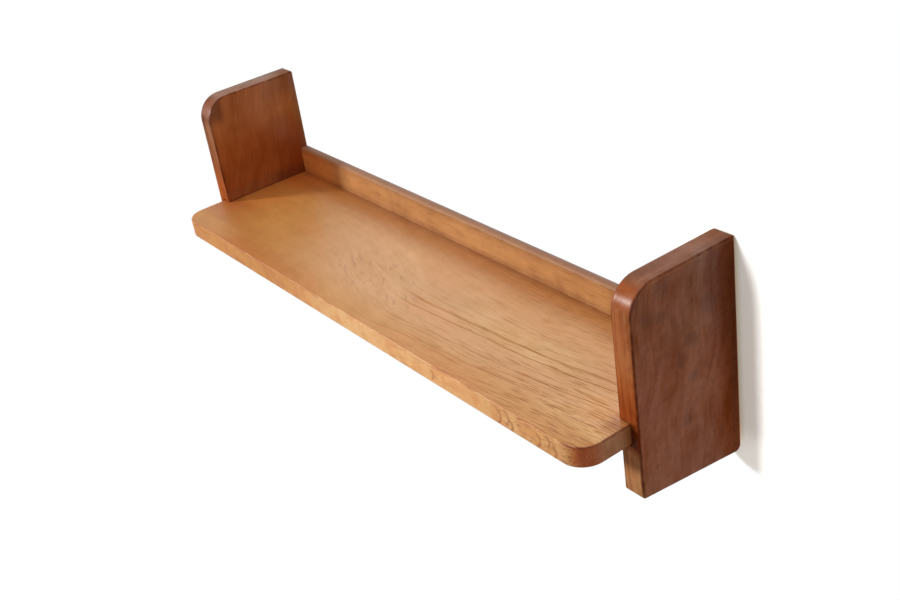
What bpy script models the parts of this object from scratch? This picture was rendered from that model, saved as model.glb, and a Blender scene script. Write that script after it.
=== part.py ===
"""Wall shelf in oiled teak: a board housed between two side panels, with a low back rail.

Metres, +Z up. X runs along the shelf, the wall is the plane Y = 0 and the front faces -Y.
The origin is the middle of the back rail's wall face.
"""

import math

import bmesh
import bpy
from mathutils import Matrix, Vector

# Clearances
FIT_GAP = 0.0003            # between faces that touch
CUT_PAST = 0.005            # how far a cutter runs out past the face it opens

# Side panels
INNER_LENGTH = 0.750        # clear length between the two side panels
PANEL_THICKNESS = 0.025
PANEL_DEPTH = 0.133         # from the wall to the panel's front edge
PANEL_ABOVE = 0.143         # panel top over the board's upper face
PANEL_BELOW_FRONT = 0.081   # panel's lower front corner under the board's upper face
PANEL_BELOW_BACK = 0.0965   # panel's lower wall corner under the board's upper face
TOP_FRONT_RADIUS = 0.030
BOTTOM_FRONT_RADIUS = 0.004
BOTTOM_BACK_RADIUS = 0.007
TOP_BACK_RADIUS = 0.002
PANEL_ARRIS = 0.0016        # softening of the panel's long edges

# Shelf board
BOARD_THICKNESS = 0.023
BOARD_OVERHANG = 0.061      # board's front edge past the panels' front edges
BOARD_CORNER_RADIUS = 0.026
BOARD_BACK_RADIUS = 0.001
BOARD_ARRIS = 0.0016
HOUSING_DEPTH = 0.014       # groove across each panel that holds the board's end

# Back rail
RAIL_HEIGHT = 0.035
RAIL_THICKNESS = 0.011
RAIL_FRONT_ROUND = 0.004    # rounded upper front edge
RAIL_BACK_ROUND = 0.001

# Dowels that locate the rail's ends in the panels
DOWEL_RADIUS = 0.003
DOWEL_LENGTH = 0.024
DOWEL_CHAMFER = 0.0008
DOWEL_SPACING = 0.016       # between the two dowels of one end

# Screws up through the board into the rail
RAIL_SCREW_RADIUS = 0.002
RAIL_SCREW_HEAD_RADIUS = 0.00375
RAIL_SCREW_BITE = 0.022     # length inside the rail
RAIL_SCREW_INSET = 0.105    # outer screws in from the panels' inner faces
RAIL_SCREW_COUNT = 3

# Keyhole hanger plates let into the panels' wall edges
HANGER_LENGTH = 0.060
HANGER_WIDTH = 0.016
HANGER_THICKNESS = 0.0015
HANGER_CORNER_RADIUS = 0.003
HANGER_DROP = 0.045         # middle of the plate under the panel's top
KEYHOLE_ENTRY_RADIUS = 0.005
KEYHOLE_SLOT_WIDTH = 0.0055
KEYHOLE_TRAVEL = 0.012      # from the entry's centre up to the slot's upper end centre
HEAD_RECESS_WIDTH = 0.0125  # room behind the plate for the head of a wall screw
HEAD_RECESS_DEPTH = 0.0085

# Screws that hold the hanger plates
HANGER_SCREW_RADIUS = 0.0015
HANGER_SCREW_HEAD_RADIUS = 0.003
HANGER_SCREW_LENGTH = 0.016
HANGER_SCREW_INSET = 0.007  # screws in from the plate's ends

# Heads and tips common to all the screws
SCREW_RIM = 0.0003          # straight rim over the countersunk cone
SCREW_SLOT_WIDTH = 0.0008
SCREW_SLOT_DEPTH = 0.0008
SCREW_TIP = 1.6             # tip's length in shank radii
SCREW_TIP_RADIUS = 0.0003

# Fineness of round forms
ROUND_STEPS = 24            # sides of a turned piece
SMALL_ARC_STEPS = 6
LARGE_ARC_STEPS = 20
ARRIS_STEPS = 2

# Places worked out from the sizes
BOARD_TOP = -RAIL_HEIGHT / 2 - FIT_GAP
BOARD_BOTTOM = BOARD_TOP - BOARD_THICKNESS
BOARD_FRONT = -(PANEL_DEPTH + BOARD_OVERHANG)
BOARD_END = INNER_LENGTH / 2 + HOUSING_DEPTH - FIT_GAP
PANEL_TOP = BOARD_TOP + PANEL_ABOVE
PANEL_MIDDLE = INNER_LENGTH / 2 + PANEL_THICKNESS / 2
RAIL_MIDDLE_DEPTH = -RAIL_THICKNESS / 2
HANGER_HEIGHT = PANEL_TOP - HANGER_DROP
HANGER_SCREW_SPACING = HANGER_LENGTH - 2 * HANGER_SCREW_INSET

# Ways to lay a flat outline: its first axis, its second axis and its thickness
ALONG_SHELF = Matrix(((0, 0, 1), (1, 0, 0), (0, 1, 0)))     # outline in Y and Z, thick in X
ACROSS_WALL = Matrix(((1, 0, 0), (0, 0, -1), (0, 1, 0)))    # outline in X and Z, thick in Y
FLAT = Matrix.Identity(3)                                   # outline in X and Y, thick in Z


def start_clean():
    for old in list(bpy.data.objects):
        bpy.data.objects.remove(old, do_unlink=True)


def new_collection(name):
    collection = bpy.data.collections.new(name)
    bpy.context.scene.collection.children.link(collection)
    return collection


def finish(name, colour, roughness, metallic=0.0):
    material = bpy.data.materials.new(name)
    material.use_nodes = True
    shader = material.node_tree.nodes["Principled BSDF"]
    shader.inputs["Base Color"].default_value = (*colour, 1.0)
    shader.inputs["Roughness"].default_value = roughness
    shader.inputs["Metallic"].default_value = metallic
    material.diffuse_color = (*colour, 1.0)
    return material


def dark_teak():
    return finish("dark_teak", (0.200, 0.068, 0.030), 0.38)


def light_teak():
    return finish("light_teak", (0.530, 0.240, 0.095), 0.42)


def pale_beech():
    return finish("pale_beech", (0.620, 0.430, 0.250), 0.60)


def zinc_plate():
    return finish("zinc_plate", (0.560, 0.560, 0.540), 0.35, 1.0)


def screw_steel():
    return finish("screw_steel", (0.480, 0.470, 0.450), 0.32, 1.0)


def corner_arc(before, corner, after, radius, steps):
    """Points that round one corner of an outline, or the corner itself where it is sharp."""
    if radius <= 0:
        return [corner]
    towards_before = (before - corner).normalized()
    towards_after = (after - corner).normalized()
    half_angle = towards_before.angle(towards_after) / 2
    centre = corner + (towards_before + towards_after).normalized() * (radius / math.sin(half_angle))
    first = corner + towards_before * (radius / math.tan(half_angle)) - centre
    last = corner + towards_after * (radius / math.tan(half_angle)) - centre
    sweep = first.angle_signed(last)
    return [centre + Matrix.Rotation(-sweep * step / steps, 2) @ first for step in range(steps + 1)]


def outline_points(corners):
    """Corners are (first, second, radius, steps); the result is the rounded outline."""
    places = [Vector(corner[:2]) for corner in corners]
    points = []
    for index, (_, _, radius, steps) in enumerate(corners):
        after = places[(index + 1) % len(places)]
        points.extend(corner_arc(places[index - 1], places[index], after, radius, steps))
    return points


def rectangle(width, height, radius, steps=SMALL_ARC_STEPS):
    return [
        (-width / 2, -height / 2, radius, steps),
        (width / 2, -height / 2, radius, steps),
        (width / 2, height / 2, radius, steps),
        (-width / 2, height / 2, radius, steps),
    ]


def flat_piece(name, corners, thickness, lay, middle, collection, material=None):
    """A solid of even thickness from a rounded outline, laid in place as a mesh."""
    curve = bpy.data.curves.new(name, "CURVE")
    curve.dimensions = "2D"
    curve.fill_mode = "BOTH"
    curve.extrude = thickness / 2
    points = outline_points(corners)
    spline = curve.splines.new("POLY")
    spline.points.add(len(points) - 1)
    for point, place in zip(spline.points, points):
        point.co = (place.x, place.y, 0, 1)
    spline.use_cyclic_u = True
    guide = bpy.data.objects.new(name, curve)
    collection.objects.link(guide)
    guide.matrix_world = Matrix.Translation(middle) @ lay.to_4x4()
    bpy.context.view_layer.update()

    evaluated = guide.evaluated_get(bpy.context.evaluated_depsgraph_get())
    mesh = bpy.data.meshes.new_from_object(evaluated)
    placing = guide.matrix_world.copy()
    bpy.data.objects.remove(guide, do_unlink=True)

    solid = bmesh.new()
    solid.from_mesh(mesh)
    bmesh.ops.remove_doubles(solid, verts=solid.verts, dist=0.00001)
    bmesh.ops.dissolve_limit(solid, angle_limit=math.radians(0.5), verts=solid.verts, edges=solid.edges)
    bmesh.ops.recalc_face_normals(solid, faces=solid.faces)
    solid.to_mesh(mesh)
    solid.free()
    mesh.name = name
    mesh.materials.clear()
    piece = bpy.data.objects.new(name, mesh)
    piece.matrix_world = placing
    collection.objects.link(piece)
    if material:
        mesh.materials.append(material)
    return piece


def soften(piece, width):
    """Ease the long edges round the outline, as a plane and sandpaper do."""
    bevel = piece.modifiers.new("eased_edges", "BEVEL")
    bevel.limit_method = "ANGLE"
    bevel.angle_limit = math.radians(50)
    bevel.width = width
    bevel.segments = ARRIS_STEPS


def turned_piece(name, profile, axis_turn, foot, collection, material=None):
    """A solid turned from (radius, height) points that run down its outer side from the top."""
    mesh = bpy.data.meshes.new(name)
    line = [(radius, 0, height) for radius, height in profile]
    mesh.from_pydata(line, [(index, index + 1) for index in range(len(line) - 1)], [])
    piece = bpy.data.objects.new(name, mesh)
    piece.matrix_world = Matrix.Translation(foot) @ axis_turn
    collection.objects.link(piece)
    turn = piece.modifiers.new("turned", "SCREW")
    turn.steps = ROUND_STEPS
    turn.render_steps = ROUND_STEPS
    turn.use_merge_vertices = True
    turn.merge_threshold = 0.00001
    turn.use_smooth_shade = True
    if material:
        mesh.materials.append(material)
    return piece


def box_cutter(name, low, high, collection):
    mesh = bpy.data.meshes.new(name)
    low, high = Vector(low), Vector(high)
    solid = bmesh.new()
    bmesh.ops.create_cube(solid, size=1.0)
    bmesh.ops.scale(solid, vec=high - low, verts=solid.verts)
    bmesh.ops.translate(solid, vec=(low + high) / 2, verts=solid.verts)
    solid.to_mesh(mesh)
    solid.free()
    cutter = bpy.data.objects.new(name, mesh)
    collection.objects.link(cutter)
    return cutter


def cut(piece, *cutters):
    for cutter in cutters:
        cutter.hide_render = True
        cutter.display_type = "WIRE"
        hollow = piece.modifiers.new(cutter.name, "BOOLEAN")
        hollow.operation = "DIFFERENCE"
        hollow.solver = "EXACT"
        hollow.object = cutter


def screw_profile(head_radius, shank_radius, length, clearance=0.0, past=0.0):
    """A countersunk wood screw, head up, or with a clearance the hole that takes it."""
    head = head_radius + clearance
    shank = shank_radius + clearance
    cone_end = -(SCREW_RIM + head_radius - shank_radius)
    tip_start = -(length - SCREW_TIP * shank_radius)
    return [
        (0, past),
        (head, past),
        (head, -SCREW_RIM),
        (shank, cone_end),
        (shank, tip_start),
        (SCREW_TIP_RADIUS + clearance, -length - clearance),
        (0, -length - clearance),
    ]


def wood_screw(name, head_radius, shank_radius, length, axis_turn, foot, parts, cutters, steel):
    """The screw itself, with its slot, and the cutter that opens its hole in the wood."""
    screw = turned_piece(
        name, screw_profile(head_radius, shank_radius, length), axis_turn, foot, parts, steel
    )
    slot = box_cutter(
        name + "_slot",
        (-head_radius - CUT_PAST, -SCREW_SLOT_WIDTH / 2, -SCREW_SLOT_DEPTH),
        (head_radius + CUT_PAST, SCREW_SLOT_WIDTH / 2, CUT_PAST),
        cutters,
    )
    slot.matrix_world = Matrix.Translation(foot) @ axis_turn
    cut(screw, slot)
    hole = turned_piece(
        name + "_hole",
        screw_profile(head_radius, shank_radius, length, FIT_GAP, CUT_PAST),
        axis_turn, foot, cutters,
    )
    return hole


def dowel_profile(clearance=0.0):
    half = DOWEL_LENGTH / 2 + clearance
    radius = DOWEL_RADIUS + clearance
    return [
        (0, half),
        (radius - DOWEL_CHAMFER, half),
        (radius, half - DOWEL_CHAMFER),
        (radius, -half + DOWEL_CHAMFER),
        (radius - DOWEL_CHAMFER, -half),
        (0, -half),
    ]


def make_board(parts, material):
    middle_depth = BOARD_FRONT / 2
    half_length = BOARD_END
    half_depth = -BOARD_FRONT / 2
    corners = [
        (-half_length, -half_depth, BOARD_CORNER_RADIUS, LARGE_ARC_STEPS),
        (half_length, -half_depth, BOARD_CORNER_RADIUS, LARGE_ARC_STEPS),
        (half_length, half_depth, BOARD_BACK_RADIUS, ARRIS_STEPS),
        (-half_length, half_depth, BOARD_BACK_RADIUS, ARRIS_STEPS),
    ]
    middle = (0, middle_depth, (BOARD_TOP + BOARD_BOTTOM) / 2)
    board = flat_piece("shelf_board", corners, BOARD_THICKNESS, FLAT, middle, parts, material)
    soften(board, BOARD_ARRIS)
    return board


def make_rail(parts, material):
    corners = [
        (-RAIL_THICKNESS, -RAIL_HEIGHT / 2, 0, 1),
        (0, -RAIL_HEIGHT / 2, 0, 1),
        (0, RAIL_HEIGHT / 2, RAIL_BACK_ROUND, ARRIS_STEPS),
        (-RAIL_THICKNESS, RAIL_HEIGHT / 2, RAIL_FRONT_ROUND, SMALL_ARC_STEPS),
    ]
    length = INNER_LENGTH - 2 * FIT_GAP
    return flat_piece("back_rail", corners, length, ALONG_SHELF, (0, 0, 0), parts, material)


def make_panel(side_name, side, parts, cutters, material):
    corners = [
        (0, BOARD_TOP - PANEL_BELOW_BACK, BOTTOM_BACK_RADIUS, SMALL_ARC_STEPS),
        (0, PANEL_TOP, TOP_BACK_RADIUS, ARRIS_STEPS),
        (-PANEL_DEPTH, PANEL_TOP, TOP_FRONT_RADIUS, LARGE_ARC_STEPS),
        (-PANEL_DEPTH, BOARD_TOP - PANEL_BELOW_FRONT, BOTTOM_FRONT_RADIUS, SMALL_ARC_STEPS),
    ]
    middle = (side * PANEL_MIDDLE, 0, 0)
    name = side_name + "_side_panel"
    panel = flat_piece(name, corners, PANEL_THICKNESS, ALONG_SHELF, middle, parts, material)
    soften(panel, PANEL_ARRIS)
    groove_ends = sorted((side * (INNER_LENGTH / 2 - CUT_PAST), side * (INNER_LENGTH / 2 + HOUSING_DEPTH)))
    housing = box_cutter(
        side_name + "_housing",
        (groove_ends[0], -PANEL_DEPTH - CUT_PAST, BOARD_BOTTOM - FIT_GAP),
        (groove_ends[1], CUT_PAST, BOARD_TOP + FIT_GAP),
        cutters,
    )
    cut(panel, housing)
    return panel


def add_rail_dowels(side_name, side, panel, rail, parts, cutters, material):
    """Two dowels across the joint between the rail's end and the panel's inner face."""
    along_x = Matrix.Rotation(math.pi / 2, 4, "Y")
    for level_name, level in (("lower", -1), ("upper", 1)):
        name = f"{side_name}_{level_name}_rail_dowel"
        middle = (side * INNER_LENGTH / 2, RAIL_MIDDLE_DEPTH, level * DOWEL_SPACING / 2)
        turned_piece(name, dowel_profile(), along_x, middle, parts, material)
        hole = turned_piece(name + "_hole", dowel_profile(FIT_GAP), along_x, middle, cutters)
        cut(panel, hole)
        cut(rail, hole)


def add_rail_screws(board, rail, parts, cutters, material):
    """A row of screws up through the board into the rail that stands on it."""
    head_down = Matrix.Rotation(math.pi, 4, "X")
    length = BOARD_THICKNESS + FIT_GAP + RAIL_SCREW_BITE
    spacing = (INNER_LENGTH - 2 * RAIL_SCREW_INSET) / (RAIL_SCREW_COUNT - 1)
    for index in range(RAIL_SCREW_COUNT):
        offset = (index - (RAIL_SCREW_COUNT - 1) / 2) * spacing
        foot = (offset, RAIL_MIDDLE_DEPTH, BOARD_BOTTOM)
        hole = wood_screw(
            f"rail_screw_{index + 1}", RAIL_SCREW_HEAD_RADIUS, RAIL_SCREW_RADIUS, length,
            head_down, foot, parts, cutters, material,
        )
        cut(board, hole)
        cut(rail, hole)


def add_hanger(side_name, side, panel, parts, cutters, zinc, steel):
    """The keyhole plate in the panel's wall edge, its seat, its screws and the recess behind it."""
    centre_x = side * PANEL_MIDDLE
    plate = flat_piece(
        side_name + "_hanger_plate", rectangle(HANGER_WIDTH, HANGER_LENGTH, HANGER_CORNER_RADIUS),
        HANGER_THICKNESS, ACROSS_WALL, (centre_x, -HANGER_THICKNESS / 2, HANGER_HEIGHT), parts, zinc,
    )
    seat_depth = HANGER_THICKNESS + FIT_GAP
    seat = flat_piece(
        side_name + "_hanger_seat",
        rectangle(HANGER_WIDTH + 2 * FIT_GAP, HANGER_LENGTH + 2 * FIT_GAP, HANGER_CORNER_RADIUS + FIT_GAP),
        seat_depth + CUT_PAST, ACROSS_WALL,
        (centre_x, (CUT_PAST - seat_depth) / 2, HANGER_HEIGHT), cutters,
    )
    recess_length = KEYHOLE_TRAVEL + HEAD_RECESS_WIDTH
    recess_bottom = seat_depth + HEAD_RECESS_DEPTH
    recess = flat_piece(
        side_name + "_head_recess",
        rectangle(HEAD_RECESS_WIDTH, recess_length, HEAD_RECESS_WIDTH / 2 - FIT_GAP),
        recess_bottom + CUT_PAST, ACROSS_WALL,
        (centre_x, (CUT_PAST - recess_bottom) / 2, HANGER_HEIGHT), cutters,
    )
    cut(panel, seat, recess)

    through_plate = HANGER_THICKNESS + 2 * CUT_PAST
    entry_height = HANGER_HEIGHT - KEYHOLE_TRAVEL / 2
    along_y = Matrix.Rotation(-math.pi / 2, 4, "X")
    entry = turned_piece(
        side_name + "_keyhole_entry",
        [(0, through_plate / 2), (KEYHOLE_ENTRY_RADIUS, through_plate / 2),
         (KEYHOLE_ENTRY_RADIUS, -through_plate / 2), (0, -through_plate / 2)],
        along_y, (centre_x, -HANGER_THICKNESS / 2, entry_height), cutters,
    )
    slot_top = HANGER_HEIGHT + (KEYHOLE_TRAVEL + KEYHOLE_SLOT_WIDTH) / 2
    slot_length = slot_top - entry_height
    slot_corners = [
        (-KEYHOLE_SLOT_WIDTH / 2, -slot_length / 2, 0, 1),
        (KEYHOLE_SLOT_WIDTH / 2, -slot_length / 2, 0, 1),
        (KEYHOLE_SLOT_WIDTH / 2, slot_length / 2, KEYHOLE_SLOT_WIDTH / 2 - FIT_GAP, SMALL_ARC_STEPS),
        (-KEYHOLE_SLOT_WIDTH / 2, slot_length / 2, KEYHOLE_SLOT_WIDTH / 2 - FIT_GAP, SMALL_ARC_STEPS),
    ]
    slot = flat_piece(
        side_name + "_keyhole_slot", slot_corners, through_plate, ACROSS_WALL,
        (centre_x, -HANGER_THICKNESS / 2, slot_top - slot_length / 2), cutters,
    )
    cut(plate, entry, slot)

    for level_name, level in (("lower", -1), ("upper", 1)):
        foot = (centre_x, 0, HANGER_HEIGHT + level * HANGER_SCREW_SPACING / 2)
        hole = wood_screw(
            f"{side_name}_{level_name}_hanger_screw", HANGER_SCREW_HEAD_RADIUS, HANGER_SCREW_RADIUS,
            HANGER_SCREW_LENGTH, along_y, foot, parts, cutters, steel,
        )
        cut(plate, hole)
        cut(panel, hole)


start_clean()
shelf_parts = new_collection("wall_shelf")
shelf_cutters = new_collection("cutters")

panel_wood = dark_teak()
board_wood = light_teak()
dowel_wood = pale_beech()
plate_metal = zinc_plate()
screw_metal = screw_steel()

shelf_board = make_board(shelf_parts, board_wood)
back_rail = make_rail(shelf_parts, board_wood)
add_rail_screws(shelf_board, back_rail, shelf_parts, shelf_cutters, screw_metal)
for panel_name, panel_side in (("left", -1), ("right", 1)):
    side_panel = make_panel(panel_name, panel_side, shelf_parts, shelf_cutters, panel_wood)
    add_rail_dowels(panel_name, panel_side, side_panel, back_rail, shelf_parts, shelf_cutters, dowel_wood)
    add_hanger(panel_name, panel_side, side_panel, shelf_parts, shelf_cutters, plate_metal, screw_metal)
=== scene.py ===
"""Looks of a wall shelf in oiled teak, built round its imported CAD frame.

Metres, +Z up. X runs along the shelf, the wall is the plane Y = 0 and the front faces -Y.
"""

import math

import bmesh
import bpy
from mathutils import Matrix, Vector, noise


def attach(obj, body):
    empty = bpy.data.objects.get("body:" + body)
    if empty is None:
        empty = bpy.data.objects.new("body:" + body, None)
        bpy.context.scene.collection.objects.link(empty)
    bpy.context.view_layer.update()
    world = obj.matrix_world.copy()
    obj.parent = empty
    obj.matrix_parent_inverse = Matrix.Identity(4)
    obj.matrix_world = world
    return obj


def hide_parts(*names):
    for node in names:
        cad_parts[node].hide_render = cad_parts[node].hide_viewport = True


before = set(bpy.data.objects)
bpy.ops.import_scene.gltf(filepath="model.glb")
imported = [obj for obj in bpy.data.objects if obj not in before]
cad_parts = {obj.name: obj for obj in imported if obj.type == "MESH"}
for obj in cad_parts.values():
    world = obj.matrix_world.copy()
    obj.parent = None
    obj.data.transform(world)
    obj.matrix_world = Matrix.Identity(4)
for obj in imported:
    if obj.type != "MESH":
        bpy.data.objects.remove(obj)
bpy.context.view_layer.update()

# Side panels. Two pieces of solid teak, dark and red with age under a satin oil finish. Each was
# sawn to its outline, with one large round at the top front, a groove was cut across it for the
# shelf board, and its long edges were eased by hand.
PANEL_THICKNESS = 0.025
PANEL_DEPTH = 0.133
PANEL_TOP = 0.1252
PANEL_LOW_FRONT = -0.0988
PANEL_LOW_BACK = -0.1143
PANEL_MIDDLE = 0.3875
PANEL_ARRIS = 0.0016
PANEL_CORNERS = (  # depth, height, radius and steps of each corner
    (0.0, PANEL_LOW_BACK, 0.007, 12),
    (0.0, PANEL_TOP, 0.002, 6),
    (-PANEL_DEPTH, PANEL_TOP, 0.030, 36),
    (-PANEL_DEPTH, PANEL_LOW_FRONT, 0.004, 10),
)
GROOVE_TOP = -0.0175
GROOVE_BOTTOM = -0.0411
GROOVE_DEPTH = 0.014
MOUTH_EASE = 0.0008  # the groove's mouth is a little worn open
CUT_PAST = 0.005  # how far a cutter runs out past the face it opens
FIT_GAP = 0.0003  # clearance round what goes into a hole or a seat
HANGER_HEIGHT = 0.0802
SEAT_WIDTH = 0.0166
SEAT_LENGTH = 0.0606
SEAT_RADIUS = 0.0033
SEAT_DEPTH = 0.0018
RECESS_WIDTH = 0.0125
RECESS_LENGTH = 0.0245
RECESS_DEPTH = 0.0103
PLATE_SCREW_HEAD = 0.003
PLATE_SCREW_SHANK = 0.0015
PLATE_SCREW_LENGTH = 0.016
PLATE_SCREW_REACH = 0.023  # from the plate's middle
SCREW_RIM = 0.0003  # straight rim over the countersunk cone
DOWEL_RADIUS = 0.003
DOWEL_LENGTH = 0.024
DOWEL_REACH = 0.008  # each dowel over or under the rail's middle
JOINT_FACE = 0.375
RAIL_MIDDLE_DEPTH = -0.0055
INTO_WALL_EDGE = Matrix.Rotation(math.pi / 2, 4, "X")
ALONG_SHELF = Matrix.Rotation(math.pi / 2, 4, "Y")
SMALLEST_ROUND = 0.00002
SAME_SPOT = 0.00001  # points this close are one
WAVER_DEPTH = 0.00012  # hollows that the hand left in the eased edges
WAVERS_PER_METRE = 45
WELD = 0.000003  # the same after cutting, which leaves finer forms
SHARP_ANGLE = math.radians(32)


def rounded(corners, inset=0.0, spacing=0.008):
    """Outline through rounded corners, drawn in by inset, with as many points at every inset."""
    places = [Vector(corner[:2]) for corner in corners]
    count = len(places)
    drawn = []
    for index, place in enumerate(places):
        arriving = (place - places[index - 1]).normalized()
        leaving = (places[(index + 1) % count] - place).normalized()
        inward = Vector((-arriving.y - leaving.y, arriving.x + leaving.x))
        drawn.append(place + inward * inset / (1 + arriving.dot(leaving)))
    arcs = []
    for index, (_, _, radius, steps) in enumerate(corners):
        radius = max(radius - inset, SMALLEST_ROUND)
        before = (drawn[index - 1] - drawn[index]).normalized()
        after = (drawn[(index + 1) % count] - drawn[index]).normalized()
        half = before.angle(after) / 2
        centre = drawn[index] + (before + after).normalized() * (radius / math.sin(half))
        first = drawn[index] + before * (radius / math.tan(half)) - centre
        sweep = math.pi - 2 * half
        arcs.append([centre + Matrix.Rotation(sweep * step / steps, 2) @ first for step in range(steps + 1)])
    points = []
    for index, arc in enumerate(arcs):
        following = arcs[(index + 1) % count][0]
        spans = max(1, round((places[(index + 1) % count] - places[index]).length / spacing))
        points += arc + [arc[-1].lerp(following, span / spans) for span in range(1, spans)]
    return points


def added(name, data):
    """A new object with this data, in the scene."""
    thing = bpy.data.objects.new(name, data)
    bpy.context.scene.collection.objects.link(thing)
    return thing


def built(name, solid):
    """The finished bmesh as a new object."""
    mesh = bpy.data.meshes.new(name)
    solid.to_mesh(mesh)
    solid.free()
    return added(name, mesh)


def slab(name, corners, thickness, place, arris=0.0, steps=5, support=0.0012):
    """A flat piece with eased edges; place(first, second, height) sets a point of it in the shelf.

    The attribute eased is 1 on the rounded edges and fades out on the faces beside them.
    """
    half = thickness / 2
    rings = [(0.0, half, 0.0)]
    if arris:
        rings = [(arris + support, half, 0.0)]
        for step in range(steps, -1, -1):
            angle = math.pi / 2 * step / steps
            eased = 1.0 if 0 < step < steps else 0.5
            rings.append((arris * (1 - math.cos(angle)), half - arris * (1 - math.sin(angle)), eased))
        rings.append((0.0, half - arris - support, 0.0))
    rings += [(inset, -height, eased) for inset, height, eased in reversed(rings)]
    solid = bmesh.new()
    eased_layer = solid.verts.layers.float.new("eased")
    loops = []
    for inset, height, eased in rings:
        loop = [solid.verts.new(place(first, second, height)) for first, second in rounded(corners, inset)]
        for vert in loop:
            vert[eased_layer] = eased
        loops.append(loop)
    for upper, lower in zip(loops, loops[1:]):
        for quad in zip(upper, upper[1:] + upper[:1], lower[1:] + lower[:1], lower):
            solid.faces.new(quad)
    solid.faces.new(loops[0])
    solid.faces.new(loops[-1])
    bmesh.ops.remove_doubles(solid, verts=solid.verts, dist=SAME_SPOT)
    bmesh.ops.recalc_face_normals(solid, faces=solid.faces)
    for vert in solid.verts:
        if vert[eased_layer] == 1.0:
            hollow = noise.noise(vert.co * WAVERS_PER_METRE) * 0.5 + 0.5
            vert.co -= vert.normal * WAVER_DEPTH * hollow
    return built(name, solid)


def rectangle(width, height, radius=0.0):
    """Corners of a rectangle about its middle, sharp or rounded."""
    steps = 12 if radius else 1
    signs = ((-1, -1), (1, -1), (1, 1), (-1, 1))
    return [(end * width / 2, rise * height / 2, radius, steps) for end, rise in signs]


def box(name, low, high):
    """A plain box, for cutting."""
    low, high = Vector(low), Vector(high)
    middle, size = (low + high) / 2, high - low
    corners = rectangle(size.x, size.y)
    return slab(name, corners, size.z, lambda first, second, height: middle + Vector((first, second, height)))


def turned_cutter(name, profile, foot, turn, steps=24):
    """A closed round solid from (radius, height) points, for cutting; a radius of 0 makes a tip."""
    solid = bmesh.new()
    solid.verts.layers.float.new("eased")
    placing = Matrix.Translation(foot) @ turn
    rows = []
    for radius, height in profile:
        angles = [2 * math.pi * step / steps for step in range(steps)] if radius else [0.0]
        spots = [Vector((radius * math.cos(angle), radius * math.sin(angle), height)) for angle in angles]
        rows.append([solid.verts.new(placing @ spot) for spot in spots])
    for upper, lower in zip(rows, rows[1:]):
        for step in range(steps):
            around = [(upper, step), (lower, step), (lower, step + 1), (upper, step + 1)]
            corners = dict.fromkeys(row[index % len(row)] for row, index in around)
            solid.faces.new(list(corners))
    bmesh.ops.recalc_face_normals(solid, faces=solid.faces)
    return built(name, solid)


def rod(radius, reach):
    """Profile of a plain round rod that reaches as far down as up."""
    return [(0, -reach), (radius, -reach), (radius, reach), (0, reach)]


def dowel_hole(name, side, level):
    """A clearance hole across the joint between the rail's end and a panel."""
    return turned_cutter(
        name, rod(DOWEL_RADIUS + FIT_GAP, DOWEL_LENGTH / 2 + FIT_GAP),
        foot=(side * JOINT_FACE, RAIL_MIDDLE_DEPTH, level * DOWEL_REACH), turn=ALONG_SHELF,
    )


def screw_hole(name, head, shank, length, foot, turn):
    """A countersunk clearance hole from foot, its depth along the turned Z axis."""
    head, shank, length = head + FIT_GAP, shank + FIT_GAP, length + FIT_GAP
    cone_end = SCREW_RIM + head - shank
    profile = [
        (0, -CUT_PAST), (head, -CUT_PAST), (head, SCREW_RIM), (shank, cone_end), (shank, length), (0, length),
    ]
    return turned_cutter(name, profile, foot, turn)


def plate_screw_hole(name, middle, level):
    """The hole of the upper or lower screw of the hanger plate at middle."""
    return screw_hole(
        name, PLATE_SCREW_HEAD, PLATE_SCREW_SHANK, PLATE_SCREW_LENGTH,
        foot=(middle, 0, HANGER_HEIGHT + level * PLATE_SCREW_REACH), turn=INTO_WALL_EDGE,
    )


def settle(piece, material, nodes, cutters=()):
    """Cuts the piece, makes it a plain closed mesh, and gives it its finish and its place in the frame."""
    for cutter in cutters:
        hollow = piece.modifiers.new(cutter.name, "BOOLEAN")
        hollow.operation = "DIFFERENCE"
        hollow.solver = "EXACT"
        hollow.object = cutter
    depsgraph = bpy.context.evaluated_depsgraph_get()
    mesh = bpy.data.meshes.new_from_object(piece.evaluated_get(depsgraph))
    piece.modifiers.clear()
    piece.data = mesh
    mesh.name = piece.name
    for cutter in cutters:
        bpy.data.objects.remove(cutter, do_unlink=True)
    solid = bmesh.new()
    solid.from_mesh(mesh)
    bmesh.ops.remove_doubles(solid, verts=solid.verts, dist=WELD)
    bmesh.ops.dissolve_degenerate(solid, dist=WELD, edges=solid.edges)
    bmesh.ops.holes_fill(solid, edges=solid.edges, sides=4)
    bmesh.ops.recalc_face_normals(solid, faces=solid.faces)
    solid.to_mesh(mesh)
    solid.free()
    mesh.shade_smooth()
    mesh.set_sharp_from_angle(angle=SHARP_ANGLE)
    mesh.materials.clear()
    mesh.materials.append(material)
    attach(piece, "root")
    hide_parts(*nodes)


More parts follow.
